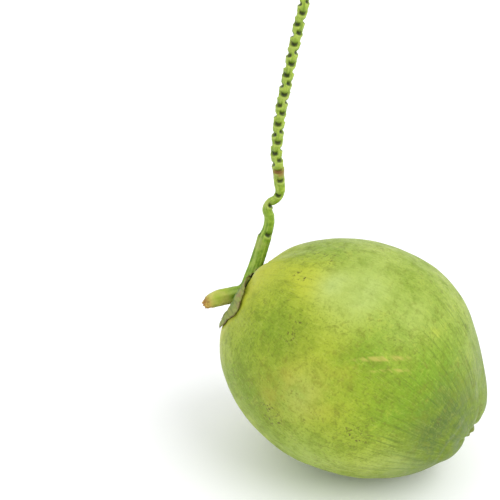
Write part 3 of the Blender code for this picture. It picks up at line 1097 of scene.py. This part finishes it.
# Colours of the stalk
STEM_GREEN = rgb(100, 138, 20)
STEM_LIGHT = rgb(146, 176, 56)
SPIKELET_GREEN = rgb(128, 158, 30)
SPIKELET_LIGHT = rgb(184, 204, 80)
STRAND_DARK = rgb(86, 118, 18)
STRAND_PALE = rgb(178, 198, 92)
STUB_YELLOW = rgb(158, 176, 50)
STUB_PALE = rgb(190, 188, 92)
PATCH_PALE = rgb(176, 184, 100)
SCAR_SHADE = rgb(80, 116, 14)
SCAR_LIP_HIGHLIGHT = rgb(184, 202, 88)
SCAR_BLACK_SHADE = rgb(28, 40, 3)
SCAR_OLIVE = rgb(60, 62, 12)
TORN_ORANGE = rgb(204, 146, 56)
TORN_BROWN = rgb(142, 88, 36)
BAND_BROWN = rgb(134, 92, 46)
DRY_GREY = rgb(120, 112, 78)
STALK_GRIT = rgb(76, 92, 22)


def stalk_material():
    n = Nodes("stalk_skin")
    where = n.fruit_coordinates()
    mottle = n.noise(where, 240, 4, 0.65)
    pale_patches = n.noise(where, 75, 3, 0.55)
    grit = n.noise(where, 1700, 3, 0.65)
    halves = n.spread(mottle, 0.3, 0.7)
    stem = n.mix(halves, STEM_GREEN, STEM_LIGHT)
    colour = n.mix(n.attribute("spikelet"), stem, n.mix(halves, SPIKELET_GREEN, SPIKELET_LIGHT))
    strand = n.attribute("strand")
    colour = n.mix(n.spread(strand, 0.2, 1.3, 0.0, 0.45), colour, STRAND_DARK)
    colour = n.mix(n.spread(strand, -0.2, -1.3, 0.0, 0.40), colour, STRAND_PALE)
    yellowish = n.mix(n.spread(pale_patches, 0.35, 0.65), STUB_YELLOW, STUB_PALE)
    colour = n.mix(n.attribute("stub"), colour, yellowish)
    colour = n.mix(n.spread(pale_patches, 0.55, 0.68, 0.0, 0.5), colour, PATCH_PALE)
    colour = n.tinted(colour, "halo", n.spread(mottle, 0.3, 0.7, 0.45, 0.85), SCAR_SHADE)
    # Painted highlight on the lit shelf below each scar
    colour = n.tinted(colour, "lip", 0.60, SCAR_LIP_HIGHLIGHT)
    # The scars' dark colour, with painted shade deep in each pit
    scar_and_shade_colour = n.mix(n.spread(mottle, 0.35, 0.65), SCAR_BLACK_SHADE, SCAR_OLIVE)
    colour = n.mix(n.attribute("scar"), colour, scar_and_shade_colour)
    torn_colour = n.mix(n.spread(mottle, 0.40, 0.60), TORN_ORANGE, TORN_BROWN)
    colour = n.tinted(colour, "torn", n.spread(mottle, 0.3, 0.6, 0.35, 1.0), torn_colour)
    colour = n.tinted(colour, "brown", n.spread(mottle, 0.35, 0.60, 0.15, 0.85), BAND_BROWN)
    colour = n.tinted(colour, "dry", 0.9, DRY_GREY)
    colour = n.mix(n.spread(grit, 0.52, 0.78, 0.0, 0.45), colour, STALK_GRIT)
    reliefs = ((mottle, 0.0005, 0.6), (grit, 0.00015, 0.6))
    return n.finished(colour, n.spread(mottle, 0.3, 0.7, 0.42, 0.60), 0.4, reliefs)


def finish_piece(piece, node):
    """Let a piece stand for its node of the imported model."""
    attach(piece, BODY)
    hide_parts(node)


# -------------------- studio

FLOOR_HALF = 12.0
FLOOR_COLOUR = (0.97, 0.98, 1.0, 1.0)
WHITE = (1.0, 1.0, 1.0, 1.0)
SUN_STRENGTH = 1.3
SUN_SPREAD = math.radians(50)
SUN_HEADING = (-0.90, 0.15, -1.0)


def build_floor():
    corners = [(x * FLOOR_HALF, y * FLOOR_HALF, 0) for x, y in ((-1, -1), (1, -1), (1, 1), (-1, 1))]
    mesh = bpy.data.meshes.new("floor")
    mesh.from_pydata(corners, [], [(0, 1, 2, 3)])
    floor = bpy.data.objects.new("floor", mesh)
    bpy.context.scene.collection.objects.link(floor)
    n = Nodes("floor_white")
    n.shader.inputs["Base Color"].default_value = FLOOR_COLOUR
    n.shader.inputs["Roughness"].default_value = 0.9
    n.shader.inputs["Specular IOR Level"].default_value = 0.1
    mesh.materials.append(n.material)


def build_lights():
    world = bpy.data.worlds.new("studio")
    world.use_nodes = True
    world.node_tree.nodes["Background"].inputs["Color"].default_value = WHITE
    world.node_tree.nodes["Background"].inputs["Strength"].default_value = 1.0
    bpy.context.scene.world = world
    lamp = bpy.data.lights.new("soft_sun", "SUN")
    lamp.energy = SUN_STRENGTH
    lamp.angle = SUN_SPREAD
    light = bpy.data.objects.new("soft_sun", lamp)
    light.rotation_euler = Vector(SUN_HEADING).to_track_quat("-Z", "Y").to_euler()
    bpy.context.scene.collection.objects.link(light)


def build_camera():
    right = Vector((math.cos(VIEW_AZIMUTH), math.sin(VIEW_AZIMUTH), 0))
    level = Vector((math.sin(VIEW_AZIMUTH), -math.cos(VIEW_AZIMUTH), 0))
    back = level * math.cos(VIEW_ELEVATION) + Vector((0, 0, math.sin(VIEW_ELEVATION)))
    up = back.cross(right)
    aim = PLACE - right * AIM_LEFT + up * AIM_UP
    data = bpy.data.cameras.new("camera")
    data.lens = LENS_MM
    camera = bpy.data.objects.new("camera", data)
    camera.location = PLACE + back * VIEW_DISTANCE
    camera.rotation_euler = (aim - camera.location).to_track_quat("-Z", "Y").to_euler()
    bpy.context.scene.collection.objects.link(camera)
    bpy.context.scene.camera = camera


bpy.context.scene.view_settings.view_transform = "Standard"
build_camera()
build_husk()
build_calyx()
build_stalk()
build_floor()
build_lights()
